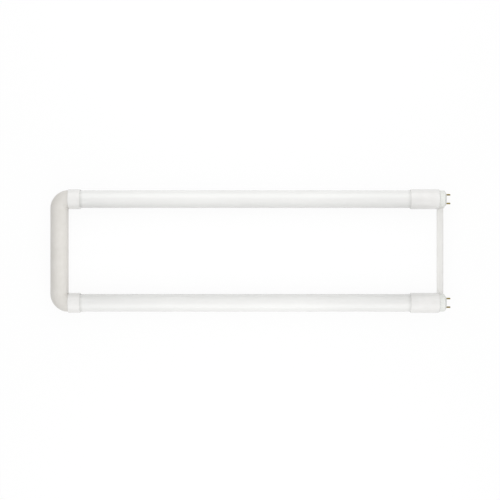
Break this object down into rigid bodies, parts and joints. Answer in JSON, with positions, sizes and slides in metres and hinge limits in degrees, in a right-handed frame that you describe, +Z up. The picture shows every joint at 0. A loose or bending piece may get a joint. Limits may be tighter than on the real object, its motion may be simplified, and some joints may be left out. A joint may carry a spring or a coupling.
{
  "type": "u-bend led tube",
  "caption": "U-shaped tubular LED lamp: straight opal tubes joined by a hollow bend, with two-pin bases held apart by a brace.",
  "frame": {"origin": "centre of the footprint, on the surface that the lamp lies on", "axes": "+X along the legs towards the pins, +Y from leg b to leg a, +Z up, square to the plane of the two legs"},
  "size_m": [0.5876, 0.1818, 0.0294],
  "materials": {
    "opal_tube": "extruded opal diffuser, satin",
    "white_plastic": "moulded, satin",
    "grey_plastic": "moulded, satin, warm grey-white",
    "brass": "drawn, bare",
    "light_board": "metal-backed board, white mask on top",
    "diode": "white package, yellow phosphor window",
    "circuit_board": "green mask",
    "ferrite": "sintered, matt",
    "can": "sleeved can",
    "moulding_compound": "moulded, matt",
    "fuse_glass": "clear tube with metal caps",
    "varistor_coat": "dipped coat",
    "wire_red": "insulation",
    "wire_black": "insulation",
    "wire_white": "insulation"
  },
  "bodies": {
    "root": {"base_collar_a": "white_plastic", "base_collar_b": "white_plastic", "bend_back_shell": "grey_plastic", "bend_collar_a": "white_plastic", "bend_collar_b": "white_plastic", "bend_front_shell": "grey_plastic", "brace": "white_plastic", "choke": "ferrite", "contact_pin_a_inner": "brass", "contact_pin_a_outer": "brass", "contact_pin_b_inner": "brass", "contact_pin_b_outer": "brass", "control_chip": "moulding_compound", "diodes_a": "diode", "diodes_b": "diode", "driver_board": "circuit_board", "driver_header": "moulding_compound", "end_cap_a": "white_plastic", "end_cap_b": "white_plastic", "filter_capacitor": "can", "fuse": "fuse_glass", "light_board_a": "light_board", "light_board_b": "light_board", "link_wire_negative": "wire_black", "link_wire_positive": "wire_red", "pin_lead_a_inner": "wire_white", "pin_lead_a_outer": "wire_white", "pin_lead_b_inner": "wire_white", "pin_lead_b_outer": "wire_white", "rectifier": "moulding_compound", "shunt_board": "circuit_board", "transformer": "ferrite", "tube_a": "opal_tube", "tube_b": "opal_tube", "varistor": "varistor_coat"}
  },
  "joints": []
}
